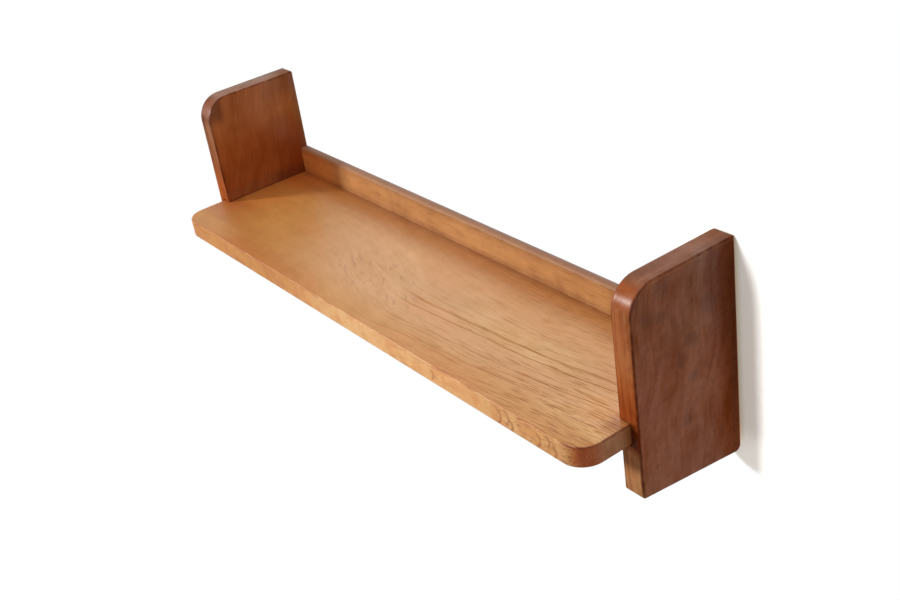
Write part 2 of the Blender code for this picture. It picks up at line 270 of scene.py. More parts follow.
class Wire:
    """A node socket for Python expressions: operators add Math nodes, node() adds any other node."""

    def __init__(self, tree, socket=None):
        self.tree = tree
        self.socket = socket

    def node(self, kind, settings=None, sockets=None, output=0):
        made = self.tree.nodes.new(kind)
        for name, value in (settings or {}).items():
            setattr(made, name, value)
        for key, value in (sockets or {}).items():
            if isinstance(value, Wire):
                self.tree.links.new(value.socket, made.inputs[key])
            else:
                made.inputs[key].default_value = value
        return Wire(self.tree, made.outputs[output] if made.outputs else None)

    def beside(self, output):
        """Another output of the same node."""
        return Wire(self.tree, self.socket.node.outputs[output])

    def math(self, operation, *others):
        return self.node("ShaderNodeMath", {"operation": operation}, dict(enumerate((self, *others))))

    def math_after(self, operation, other):
        return self.node("ShaderNodeMath", {"operation": operation}, {0: other, 1: self})

    def __add__(self, other):
        return self.math("ADD", other)

    def __mul__(self, other):
        return self.math("MULTIPLY", other)

    __radd__, __rmul__ = __add__, __mul__

    def __sub__(self, other):
        return self.math("SUBTRACT", other)

    def __rsub__(self, other):
        return self.math_after("SUBTRACT", other)

    def __truediv__(self, other):
        return self.math("DIVIDE", other)

    def __rtruediv__(self, other):
        return self.math_after("DIVIDE", other)

    def __pow__(self, other):
        return self.math("POWER", other)

    def __abs__(self):
        return self.math("ABSOLUTE")

    def between(self, low, high):
        """0 below low, 1 above high, and a smooth step from one to the other."""
        settings = {"interpolation_type": "SMOOTHSTEP"}
        return self.node("ShaderNodeMapRange", settings, {0: self, 1: low, 2: high})

    def until(self, low, high):
        """1 below low, 0 above high."""
        return 1 - self.between(low, high)

    def inside(self, low, rise, fall, high):
        """1 from rise to fall, and 0 below low and above high."""
        return self.between(low, rise) * self.until(fall, high)


def blended(share, first, second, mode="MIX"):
    """One colour turning into another by share, or multiplied by it."""
    colours = {
        key: value if isinstance(value, Wire) else (*value, 1.0) for key, value in ((6, first), (7, second))
    }
    settings = {"data_type": "RGBA", "blend_type": mode}
    return share.node("ShaderNodeMix", settings, {0: share, **colours}, output=2)


def worn(tone, where, *patches):
    """The tone after each patch in turn has multiplied it; a patch is a mask within where, and a tint.

    Masks and tints were set by comparing renders with the photograph. So the causes that comments name
    for them, such as dust or handling, are guesses, and some tints make up for the photograph's light.
    """
    # the patches carry both worn finish and painted light and shade
    for mask, tint in patches:
        tone = blended(where * mask, tone, tint, "MULTIPLY")
    return tone


def parted(whole, kind="XYZ"):
    """The three parts of a vector, or of a colour."""
    first = whole.node("ShaderNodeSeparate" + kind, None, {0: whole})
    return first, first.beside(1), first.beside(2)


def clouded(place, detail, scale=1.0, roughness=0.5):
    """Cloudy noise at a place, with scale cells in a metre."""
    sockets = {"Vector": place, "Scale": scale, "Detail": detail, "Roughness": roughness}
    return place.node("ShaderNodeTexNoise", None, sockets)


def stretched(spot, scales, shift, detail, roughness=0.5):
    """Noise with its own number of cells in a metre along each axis; shift takes it elsewhere."""
    sockets = {0: spot, 1: scales, 2: [shift] * 3}
    place = spot.node("ShaderNodeVectorMath", {"operation": "MULTIPLY_ADD"}, sockets)
    return clouded(place, detail, roughness=roughness)


def distance(first, second):
    """Length of the hypotenuse over two sides."""
    return (first * first + second * second) ** 0.5


def bumped(relief, strength, depth):
    """The normal over a relief that is as deep as depth where it is 1."""
    return relief.node("ShaderNodeBump", None, {"Strength": strength, "Distance": depth, "Height": relief})


def blank_material(name):
    """A new material with an empty node tree, and a wire into the tree."""
    material = bpy.data.materials.new(name)
    material.use_nodes = True
    material.node_tree.nodes.clear()
    return material, Wire(material.node_tree)


LATE_WOOD_END = 0.94  # share of a year where its dark line stops
WANDER_ACROSS = 0.018  # how far the years wander over the length of a piece
WANDER_THROUGH = 0.014
DRIFT = 3.2  # by how many years their count drifts
PLAIN_SHADE = 0.36  # of bare wood, between its light colour at 0 and its dark one at 1


def wood(
    name, grain, heart, light, dark, red, pore, seed, ring, years=0.2, line=0.5, curl=0.0065, fibres=0.35,
    patches=0.4, mottle=0.4, ripple=0.0, ticks=0.2, roughness=0.5, specular=0.25, coat=0.0,
    coat_roughness=0.35, coat_index=1.5, sunk=0.0, rubbed_and_shaded_tint=(0.66, 0.52, 0.46), bend=None, shares=None,
    polish=None, tinting=None,
):
    """Solid wood, sawn from a log whose heart lies at heart, so faces, edges and ends agree.

    grain is (along, across, through) as axis numbers, and heart is (place across, place through, lean,
    bow). light, dark, red and pore are colours. ring is a year's width, and line the dark share of it.
    curl is how far the years curl in short waves. years, fibres, patches, mottle, ripple and ticks are
    strengths. bend(along) carries the figure sideways. shares(x, y, z) gives the shares of the years,
    ticks and fibres that show. polish(x, y, z) gives the share of the coat, which sunk thins where the
    grain is dark. tinting(x, y, z, tone) gives the tone with its worn finish and its painted light and shade.
    """
    material, wire = blank_material(name)
    spot = wire.node("ShaderNodeTexCoord", output="Object")
    x, y, z = parted(spot)
    along, across, through = ((x, y, z)[axis] for axis in grain)
    if bend:
        sideways = spot.node("ShaderNodeCombineXYZ", None, {grain[1]: bend(along)})
        spot = spot.node("ShaderNodeVectorMath", {"operation": "SUBTRACT"}, {0: spot, 1: sideways})
        across = across - bend(along)

    def streaks(along_scale, across_scale, detail, offset, rough=0.5):
        """Noise drawn out along the grain, from its cells in a metre, detail and a shift of its own."""
        scales = [across_scale] * 3
        scales[grain[0]] = along_scale
        return stretched(spot, scales, seed + offset, detail, rough)

    # Growth rings round a heart that leans, bows and wanders along the piece
    stray_across, stray_through, _ = parted(streaks(4.5, 15, 1.0, 3.1).beside("Color"), "Color")
    curls = streaks(34, 60, 1.5, 7.7)
    heart_across, heart_through, lean, bow = heart
    from_heart_across = across - heart_across + (stray_across - 0.5) * WANDER_ACROSS + (curls - 0.5) * curl
    from_heart_through = through - heart_through + along * lean + along * along * bow
    radius = distance(from_heart_across, from_heart_through + (stray_through - 0.5) * WANDER_THROUGH)
    cells = {"W": radius * 55 + seed, "Scale": 1.0, "Detail": 1.0}
    spread = radius.node("ShaderNodeTexNoise", {"noise_dimensions": "1D"}, cells)
    count = radius / ring + spread * DRIFT
    season = count.math("FRACT")
    year = count.math("FLOOR")
    vigour = year.node("ShaderNodeTexWhiteNoise", {"noise_dimensions": "1D"}, {"W": year + seed})
    late = season.inside(LATE_WOOD_END - line, LATE_WOOD_END - line * 0.15, LATE_WOOD_END, 1.0)
    late = late * (0.2 + 0.8 * vigour * vigour)

    # Fibres, short dark ticks, patches of colour, ripples across the grain and open pores
    long_fibres = streaks(6, 330, 3.0, 11.3, 0.62)
    fine_fibres = streaks(26, 1150, 2.0, 17.9)
    clouds = streaks(9, 22, 2.5, 23.3, 0.55)
    mottling = streaks(22, 75, 2.0, 37.1, 0.6)
    short_ticks = streaks(36, 880, 1.5, 29.9).between(0.55, 0.67)
    fibre_share = 1.0
    if shares:
        year_share, tick_share, fibre_share = shares(x, y, z)
        late = late * year_share
        short_ticks = short_ticks * tick_share
    flecks = streaks(95, 2600, 1.0, 31.7)
    pores = flecks.between(0.60, 0.70) * (0.35 + 0.65 * (1 - season))
    depth = (
        late * years + (long_fibres - 0.5) * (2.0 * fibres) * fibre_share + (fine_fibres - 0.5) * fibres
        + (clouds - 0.5) * patches + (mottling - 0.5) * mottle + short_ticks * ticks + PLAIN_SHADE
    )
    if ripple:
        depth = depth + (streaks(64, 24, 1.0, 43.3) - 0.5) * ripple
    shade = depth.between(0.0, 1.0)
    redness = parted(clouds.beside("Color"), "Color")[2]
    tone = blended(shade, light, dark)
    tone = blended(redness.between(0.42, 0.68) * 0.40, tone, red)
    tone = blended(pores * 0.30, tone, pore)

    # Eased edges: darker and patchy, partly worn finish and partly painted shade that dims the light on their
    # rounds
    eased = spot.node("ShaderNodeAttribute", {"attribute_name": "eased"}, output="Fac")
    rubbing = streaks(45, 160, 2.0, 41.9)
    rubbed = eased * (0.35 + 0.65 * rubbing.between(0.36, 0.60))
    tone = worn(tone, rubbed, (0.85, rubbed_and_shaded_tint))
    if tinting:
        tone = tinting(x, y, z, tone)

    gloss = coat
    if polish:
        gloss = polish(x, y, z) * coat * (1 - (shade - 0.3) * sunk)
        gloss = gloss.math("MINIMUM", 1.0).math("MAXIMUM", 0.0)
    relief = (long_fibres - 0.5) * 0.5 + (fine_fibres - 0.5) * 0.35 - pores
    shader = spot.node("ShaderNodeBsdfPrincipled", None, {
        "Base Color": tone,
        "Roughness": roughness + (rubbing - 0.5) * 0.14 + pores * 0.15 + rubbed * 0.05,
        "Normal": bumped(relief, 0.30, 0.0002),
        "Specular IOR Level": specular,
        "Coat Weight": gloss,
        "Coat Roughness": coat_roughness,
        "Coat IOR": coat_index,
    })
    shader.node("ShaderNodeOutputMaterial", None, {0: shader})
    return material


def panel_polish(x, y, z):
    """The varnish is thickest round the upper corner and rubbed off the front edge under it."""
    front = y.until(-PANEL_DEPTH + 0.0004, -PANEL_DEPTH + 0.0022)
    face = (0.50 - front * 0.40) * (1 - 0.75 * y.between(-0.036, -0.005))
    corner = z.inside(0.098, 0.104, 0.119, 0.1245) * y.until(-0.118, -0.108)
    corner = corner * (1 - abs(x).between(JOINT_FACE + 0.002, JOINT_FACE + 0.024) * 0.85)
    return face + corner * (0.50 - face)


def panel_bend(along):
    """The figure leans to the wall with height and waves a little."""
    return along * 0.16 + 0.004 * (along * 48).math("SINE")


SMUDGES = (  # depth, height and radius of dark stains on the outer faces
    (-0.094, 0.112, 0.014), (-0.112, 0.088, 0.012), (-0.096, 0.085, 0.010), (-0.038, 0.072, 0.016),
    (-0.060, 0.044, 0.011), (-0.074, 0.028, 0.010), (-0.060, 0.004, 0.009), (-0.071, -0.040, 0.010),
)


def panel_wear_and_light(x, y, z, tone):
    """Painted shade by the wall and round the board, dust on top, and painted light and shade on each face.
    """
    spot = x.node("ShaderNodeTexCoord", output="Object")
    right = x.between(-0.1, 0.1)
    left = 1 - right

    # Outer faces: painted shade toward the wall, bands of painted light and shade, and dark stains
    outer = abs(x).between(0.385, 0.396)
    tone = worn(
        tone, outer,
        ((y + z * 0.30).between(-0.040, 0.006), (0.60, 0.57, 0.54)),
        (y.between(-0.022, -0.002), (1.08, 1.36, 3.00)),
        (y.between(-0.050, -0.004) * (0.6 + 0.4 * z.between(-0.05, 0.06)), (0.98, 0.76, 0.50)),
        (z.between(-0.01, 0.10), (0.90, 0.94, 0.96)),
        (z.until(-0.06, 0.0) * y.until(-0.110, -0.085), (1.04, 1.10, 1.15)),
        ((z - y * 0.1165).until(-0.113, -0.106), (0.86, 0.98, 1.05)),
        (z.between(0.020, 0.050) * y.inside(-0.100, -0.085, -0.055, -0.040), (0.91, 0.92, 0.93)),
    )
    ragged = clouded(spot, 3.0, 130.0)
    for depth, height, radius in SMUDGES:
        away = distance(y - depth, z - height) / radius + (ragged - 0.5) * 1.6
        tone = worn(tone, outer, (away.until(0.35, 0.95) * 0.6, (0.64, 0.62, 0.66)))
    tone = worn(tone, outer, (ragged.between(0.48, 0.62), (0.88, 0.84, 0.82)))

    # Tops, dusty, with painted light on the edge nearer to the camera and painted light and shade elsewhere
    outer_edge = abs(x).between(0.3978, 0.3990)
    inner_edge = abs(x).until(0.3758, 0.3770)
    near_edge = right * outer_edge + left * inner_edge
    far_edge = right * inner_edge + left * outer_edge
    top = z.between(0.1195, 0.1248) * (1 - near_edge)
    tone = worn(tone, near_edge, (right * z.between(0.1200, 0.1235), (1.34, 1.58, 1.70)))
    tone = blended(top * 0.60, tone, (0.225, 0.135, 0.095))
    tone = worn(
        tone, top,
        (far_edge, (0.90, 1.05, 1.30)),
        (right * x.between(0.383, 0.396), (1.16, 1.10, 1.08)),
        (left * x.until(-0.397, -0.380), (1.05, 1.24, 1.48)),
        (y.between(-0.0045, -0.0010), (0.76, 1.18, 1.72)),
        (left, (1.12, 1.27, 1.38)),
    )

    # Front edges, streaked, with painted shade beside the board and painted light above it and at the foot
    front = y.until(-PANEL_DEPTH + 0.0004, -PANEL_DEPTH + 0.0018)
    strips = stretched(spot, (260, 14, 14), 0.0, 2.0).between(0.42, 0.60)
    tone = worn(tone, front, (strips, (0.84, 0.76, 0.72)), (1 - strips, (1.06, 1.12, 1.15)))
    tone = worn(tone, top, (strips, (0.92, 0.86, 0.84)), (1 - strips, (1.05, 1.03, 1.01)))
    tone = worn(
        tone, front,
        (right * z.until(0.000, 0.035), (0.75, 0.67, 0.64)),
        (right * z.between(0.000, 0.060), (1.05, 1.36, 2.22)),
        (left * z.between(0.000, 0.060), (0.72, 1.02, 1.90)),
        (z.until(-0.052, -0.043), (1.59, 3.05, 6.10)),
    )
    # painted shade on the round corners, over their highlight
    round_corner = y.until(-0.118, -0.108) * z.between(0.085, 0.105)
    tone = worn(tone, round_corner, (left, (0.62, 0.64, 0.74)), (1.0, (0.89, 0.89, 0.92)))

    # Inner face of the left panel, with painted shade low down and painted light high up
    inner = left * x.between(-0.3765, -0.3755)
    low = z.until(-0.010, 0.004)
    tone = worn(
        tone, inner,
        (z.between(0.092, 0.112) * y.between(-0.065, -0.040), (0.84, 0.88, 1.10)),
        (z.inside(0.030, 0.045, 0.058, 0.075) * y.until(-0.088, -0.065), (1.07, 1.06, 1.08)),
        (z.between(0.045, 0.095), (1.16, 1.42, 1.75)),
        (z.until(-0.030, 0.065) * y.between(-0.085, -0.035), (0.72, 0.66, 0.68)),
        (z.inside(0.005, 0.030, 0.055, 0.085) * y.between(-0.085, -0.045), (0.84, 0.76, 0.70)),
        (z.until(0.015, 0.045) * y.until(-0.085, -0.065), (0.90, 0.88, 0.86)),
        (low, (0.92, 1.10, 1.52)),
        (low * y.between(-0.080, -0.050), (0.79, 0.70, 0.65)),
        (z.inside(0.035, 0.050, 0.075, 0.090) * y.between(-0.070, -0.050), (1.04, 1.08, 0.84)),
        (y.between(-0.015, -0.002), (0.95, 1.30, 2.50)),
    )

    # Painted shade, and some dirt, round the board where it goes into the groove
    inward = abs(x).until(JOINT_FACE + 0.019, JOINT_FACE + 0.024)
    near = z.inside(GROOVE_BOTTOM - 0.0030, GROOVE_BOTTOM, GROOVE_TOP, GROOVE_TOP + 0.0030)
    return worn(tone, inward, (near * (0.35 + 0.55 * right), (0.32, 0.28, 0.30)))


for side_name, side in (("left", -1), ("right", 1)):
    middle = side * PANEL_MIDDLE
    panel = slab(
        side_name + "_panel", PANEL_CORNERS, PANEL_THICKNESS,
        lambda depth, height, out: (middle + out, depth, height), arris=PANEL_ARRIS,
    )
    inner_face = middle - side * PANEL_THICKNESS / 2
    groove_ends = sorted((inner_face - side * CUT_PAST, inner_face + side * GROOVE_DEPTH))
    groove_across = sum(groove_ends) / 2
    groove_middle = (GROOVE_TOP + GROOVE_BOTTOM) / 2

    def flared(across, height, out):
        """Opens the groove's mouth by as much as the point lies out from the worn depth."""
        opened = out + MOUTH_EASE
        return (
            groove_across + across + math.copysign(opened, across),
            -PANEL_DEPTH - out, groove_middle + height + math.copysign(opened, height),
        )

    def in_wall_edge(across, height, out):
        return (middle + across, out, HANGER_HEIGHT + height)

    cutters = [
        box(
            side_name + "_groove",
            (groove_ends[0], -PANEL_DEPTH - CUT_PAST, GROOVE_BOTTOM), (groove_ends[1], CUT_PAST, GROOVE_TOP),
        ),
        slab(
            side_name + "_mouth", rectangle(GROOVE_DEPTH + CUT_PAST, GROOVE_TOP - GROOVE_BOTTOM),
            2 * MOUTH_EASE, flared,
        ),
        slab(
            side_name + "_seat", rectangle(SEAT_WIDTH, SEAT_LENGTH, SEAT_RADIUS),
            2 * SEAT_DEPTH, in_wall_edge,
        ),
        slab(
            side_name + "_recess", rectangle(RECESS_WIDTH, RECESS_LENGTH, RECESS_WIDTH / 2 - FIT_GAP),
            2 * RECESS_DEPTH, in_wall_edge,
        ),
    ]
    for level in (-1, 1):
        cutters.append(plate_screw_hole(f"{side_name}_plate_screw_hole_{level}", middle, level))
        cutters.append(dowel_hole(f"{side_name}_dowel_hole_{level}", side, level))
    panel_wood = wood(
        side_name + "_panel_teak", grain=(2, 1, 0), heart=(-0.30, 0.36 * side, 0.10, 0.0),
        light=(0.520, 0.140, 0.029), dark=(0.225, 0.048, 0.011), red=(0.410, 0.082, 0.016),
        pore=(0.070, 0.016, 0.005), seed=2.7 + side, ring=0.0105, years=0.08, line=0.80, curl=0.012,
        fibres=0.08, patches=0.48, mottle=0.48, ripple=0.14, ticks=0.06, specular=0.0, coat=1.0,
        coat_roughness=0.32, sunk=2.4, rubbed_and_shaded_tint=(0.38, 0.24, 0.22), bend=panel_bend, polish=panel_polish,
        tinting=panel_wear_and_light,
    )
    settle(panel, panel_wood, [side_name + "_side_panel"], cutters)

# Shelf board. One wide piece of lighter teak under a glossier coat. Its ends are let into the
# panels' grooves and glued, and it runs out past their front edges with rounded corners.
BOARD_TOP = -0.0178
BOARD_THICKNESS = 0.023
BOARD_BOTTOM = BOARD_TOP - BOARD_THICKNESS
BOARD_FRONT = -0.194
BOARD_END = 0.3887
BOARD_ARRIS = 0.0016
BOARD_CORNERS = (  # along, depth, radius and steps of each corner
    (-BOARD_END, BOARD_FRONT, 0.026, 36),
    (BOARD_END, BOARD_FRONT, 0.026, 36),
    (BOARD_END, 0.0, 0.001, 4),
    (-BOARD_END, 0.0, 0.001, 4),
)
RAIL_SCREW_HEAD = 0.00375
RAIL_SCREW_SHANK = 0.002
RAIL_SCREW_LENGTH = 0.0453
RAIL_SCREW_SPACING = 0.27
RAIL_SCREW_FEET = [(number * RAIL_SCREW_SPACING, RAIL_MIDDLE_DEPTH, BOARD_BOTTOM) for number in (-1, 0, 1)]


def board_bend(along):
    """The figure sweeps down to the front by the left half's end, and back up at the right end."""
    return 0.052 * along.until(-0.17, 0.06) + 0.022 * along.between(0.16, 0.42)


def board_shares(x, y, z):
    """The dark year lines keep to the front right, the ticks and the fibres to the right."""
    years = (1 - y.between(-0.105, -0.075) * 0.85) * (0.08 + 0.92 * x.between(-0.02, 0.09))
    ticks = 0.12 + 0.36 * x.between(-0.02, 0.20) + 1.25 * x.between(0.20, 0.36) * y.until(-0.150, -0.090)
    ticks = ticks + x.between(0.325, 0.365) * y.inside(-0.180, -0.160, -0.130, -0.110)
    ticks = ticks * (1 - 0.85 * abs(x).between(BOARD_END - 0.006, BOARD_END - 0.001))
    return years, ticks, 0.35 + 0.65 * x.between(-0.05, 0.15)


def board_polish(x, y, z):
    """The coat is whole in the middle of the top, thin at the front and left off the edges."""
    top = z.between(BOARD_TOP - 0.0010, BOARD_TOP - 0.0001)
    return top * (0.40 + 0.60 * y.between(-0.195, -0.140)) * (0.25 + 0.75 * x.between(-0.42, -0.08))


CRESCENTS = (  # along, height and radius of small curved marks on the front edge
    (0.160, -0.030, 0.0060), (0.266, -0.031, 0.0085), (0.279, -0.028, 0.0080), (0.286, -0.034, 0.0060),
    (0.325, -0.031, 0.0075), (0.340, -0.026, 0.0060), (0.348, -0.034, 0.0065),
)


def board_wear_and_light(x, y, z, tone):
    """Golden where the edges are bare, browner on the end grain, and painted light and shade on edges and
    top.
    """
    spot = x.node("ShaderNodeTexCoord", output="Object")
    top = z.between(BOARD_TOP - 0.0012, BOARD_TOP - 0.0002)

    # Front edge, painted lighter in its middle, with marks like crescents, and the end grain round its
    # corners
    edge = (1 - top) * z.between(BOARD_BOTTOM + 0.0002, BOARD_BOTTOM + 0.0012) * y.until(-0.150, -0.130)
    tone = worn(
        tone, edge,
        (clouded(spot, 3.0, 75.0).between(0.40, 0.66), (0.90, 0.76, 0.62)),
        (1.0, (0.97, 0.92, 0.68)),
        (x.until(-0.20, -0.10), (0.94, 0.89, 0.52)),
        (x.between(-0.14, 0.0) * (1 - x.between(0.14, 0.40) * 0.45), (1.44, 1.98, 4.75)),
    )
    for start, height, radius in CRESCENTS:
        mark = abs(distance(x - start, z - height) - radius).until(0.0004, 0.0024)
        tone = worn(tone, edge, (mark * x.between(start, start + radius * 0.6), (0.66, 0.52, 0.40)))
    past_corner = (1 - top) * abs(x).between(BOARD_END - 0.022, BOARD_END - 0.008)
    # the end grain is redder, and its faces take painted light
    tone = worn(
        tone, past_corner, (1.0, (0.80, 0.39, 0.29)), (y.between(-0.182, -0.160), (0.98, 1.80, 3.10))
    )
    rim = z.inside(BOARD_TOP - 0.0016, BOARD_TOP - 0.0008, BOARD_TOP - 0.0003, BOARD_TOP)
    tone = worn(tone, rim, (x.between(0.355, 0.370), (0.55, 0.34, 0.26)))

    # Top, from painted shade, dark and red, to painted light, pale
    slanted = {0: (x * 0.87 - y * 0.50) * 46, 1: (x * 0.50 + y * 0.87) * 190}
    curls = clouded(x.node("ShaderNodeCombineXYZ", None, slanted), 0.5).between(0.57, 0.70)
    curls = curls * x.inside(-0.14, -0.09, 0.02, 0.07)
    nicks = stretched(spot, (42, 900, 0), 0.0, 1.5).between(0.56, 0.63)
    front_rim = y.until(-0.190, -0.175)
    left_panel_shade = x.until(-0.375, -0.270) * y.between(-0.180, -0.125)
    return worn(
        tone, top,
        # painted shade beside the panels and at the front's left, and a painted reflection at the left ear
        (x.between(0.362, 0.378) * y.between(-0.160, -0.140), (0.66, 0.52, 0.44)),
        (x.until(-0.36, -0.25) * y.until(-0.185, -0.150), (1.14, 1.36, 1.66)),
        (x.until(-0.20, 0.0) * y.until(-0.192, -0.150), (0.90, 0.72, 0.62)),
        (left_panel_shade, (0.98, 0.80, 0.62)),
        (left_panel_shade * y.until(-0.125, -0.105), (0.78, 0.64, 0.74)),
        (x.until(-0.34, -0.28) * y.inside(-0.055, -0.045, -0.030, -0.020), (1.13, 0.98, 0.90)),
        (x.until(-0.33, -0.24) * y.between(-0.032, -0.022), (1.22, 1.15, 1.30)),
        # long patches of painted light and shade on the open part
        (x.between(0.28, 0.33) * y.inside(-0.180, -0.165, -0.128, -0.100), (1.14, 1.33, 1.58)),
        (x.between(-0.08, 0.04) * y.inside(-0.125, -0.112, -0.092, -0.078), (1.00, 1.06, 1.20)),
        (x.inside(-0.02, 0.06, 0.29, 0.33) * y.until(-0.190, -0.176), (1.00, 1.00, 1.14)),
        (x.until(-0.28, -0.22) * y.inside(-0.175, -0.165, -0.150, -0.140), (0.93, 0.89, 0.90)),
        (front_rim * x.until(-0.34, -0.28), (0.98, 1.04, 1.22)),
        (front_rim * x.inside(-0.30, -0.26, -0.14, -0.08), (0.99, 0.96, 0.85)),
        (x.until(-0.33, -0.28) * y.inside(-0.118, -0.106, -0.094, -0.082), (1.01, 1.03, 1.20)),
        (x.between(0.09, 0.15) * y.between(-0.032, -0.024), (1.05, 1.11, 1.04)),
        (x.inside(0.08, 0.16, 0.26, 0.32) * y.inside(-0.135, -0.108, -0.095, -0.075), (1.07, 1.17, 1.21)),
        # curled figure, nicks, painted shade under the rail, and painted light in front of it on the left
        (curls * y.inside(-0.165, -0.145, -0.100, -0.080), (0.84, 0.76, 0.68)),
        (nicks * x.between(0.270, 0.345) * y.until(-0.140, -0.115), (0.66, 0.47, 0.40)),
        (y.between(-0.066, -0.024), (0.72, 0.62, 0.50)),
        (y.between(-0.0240, -0.0105), (0.70, 0.64, 0.58)),
        (x.between(-0.26, -0.02) * y.until(-0.060, -0.005), (1.16, 1.24, 1.46)),
    )


def rail_screw_holes():
    """The holes of the three screws that run up through the board into the rail."""
    return [
        screw_hole(
            f"rail_screw_hole_{number}", RAIL_SCREW_HEAD, RAIL_SCREW_SHANK, RAIL_SCREW_LENGTH, foot,
            turn=Matrix.Identity(4),
        )
        for number, foot in enumerate(RAIL_SCREW_FEET)
    ]


board_middle = BOARD_TOP - BOARD_THICKNESS / 2
board = slab(
    "board", BOARD_CORNERS, BOARD_THICKNESS,
    lambda along, depth, up: (along, depth, board_middle + up), arris=BOARD_ARRIS,
)
board_wood = wood(
    "board_teak", grain=(0, 1, 2), heart=(-0.26, -0.0858, -0.16, 0.0), light=(0.715, 0.332, 0.078),
    dark=(0.385, 0.136, 0.028), red=(0.640, 0.232, 0.046), pore=(0.200, 0.062, 0.014), seed=5.3, ring=0.0115,
    years=0.50, line=0.12, curl=0.0035, fibres=0.07, patches=0.18, mottle=0.32, ripple=0.14, ticks=0.52,
    specular=0.35, coat=0.8, coat_roughness=0.38, coat_index=2.0, sunk=1.8, rubbed_and_shaded_tint=(0.74, 0.56, 0.46),
    bend=board_bend, shares=board_shares, polish=board_polish, tinting=board_wear_and_light,
)
settle(board, board_wood, ["shelf_board"], rail_screw_holes())

# Back rail. A thin strip of the same lighter teak that stands on the board's back edge between
# the panels. Its upper front edge is rounded over, and its top has gone grey with dust.
RAIL_HALF_LENGTH = 0.3747
RAIL_THICKNESS = 0.011
RAIL_TOP = 0.0175
RAIL_FOOT = -0.01776
RAIL_CORNERS = (  # depth, height, radius and steps of each corner
    (-RAIL_THICKNESS, RAIL_FOOT, 0.0002, 1),
    (0.0, RAIL_FOOT, 0.0002, 1),
    (0.0, RAIL_TOP, 0.001, 4),
    (-RAIL_THICKNESS, RAIL_TOP, 0.004, 12),
)


def rail_dust_and_shade(x, y, z, tone):
    """Grey with dust on top, painted redder where the left panel shades it, and painted shade at its head and
    foot.
    """
    face = y.until(-0.0106, -0.0090)
    # painted shade, redder, where the left panel shades the face
    tone = blended(face * x.until(-0.320, -0.270) * 0.60, tone, (0.860, 0.280, 0.060))
    # painted shade at the head and the foot of the face
    tone = worn(
        tone, face,
        (abs(z + 0.001).between(0.007, 0.014), (0.84, 0.80, 0.80)),
        (z.until(-0.0172, -0.0135), (1.01, 0.94, 0.97)),
    )
    dusty = z.between(0.0145, 0.0168) * (0.50 + 0.35 * y.between(-0.008, -0.002))
    back_edge = z.between(0.0165, 0.0172) * y.between(-0.0040, -0.0010)
    # painted shade on the rounded edge, which takes a highlight
    tone = worn(tone, z.between(0.0135, 0.0150), (1.0, (0.86, 0.84, 0.82)))
    tone = blended(dusty, tone, (0.370, 0.200, 0.146))
    return blended(back_edge * 0.65, tone, (0.285, 0.235, 0.235))


rail = slab(
    "rail", RAIL_CORNERS, 2 * RAIL_HALF_LENGTH, lambda depth, height, along: (along, depth, height)
)
rail_wood = wood(
    "rail_teak", grain=(0, 2, 1), heart=(0.060, 0.030, 0.03, 0.0), light=(0.580, 0.285, 0.102),
    dark=(0.340, 0.138, 0.042), red=(0.520, 0.215, 0.070), pore=(0.170, 0.050, 0.016), seed=9.1, ring=0.0060,
    years=0.14, fibres=0.16, patches=0.60, mottle=0.85, ripple=0.5, roughness=0.52, specular=0.24,
    tinting=rail_dust_and_shade,
)
rail_cutters = rail_screw_holes()
for side in (-1, 1):
    rail_cutters += [dowel_hole(f"rail_dowel_hole_{side}_{level}", side, level) for level in (-1, 1)]
settle(rail, rail_wood, ["back_rail"], rail_cutters)

# Rail dowels. Four bought beech pins, chamfered at both ends and fluted along their length so that
# glue can escape. Each joins an end of the rail to a panel.
DOWEL_SIDES = 96


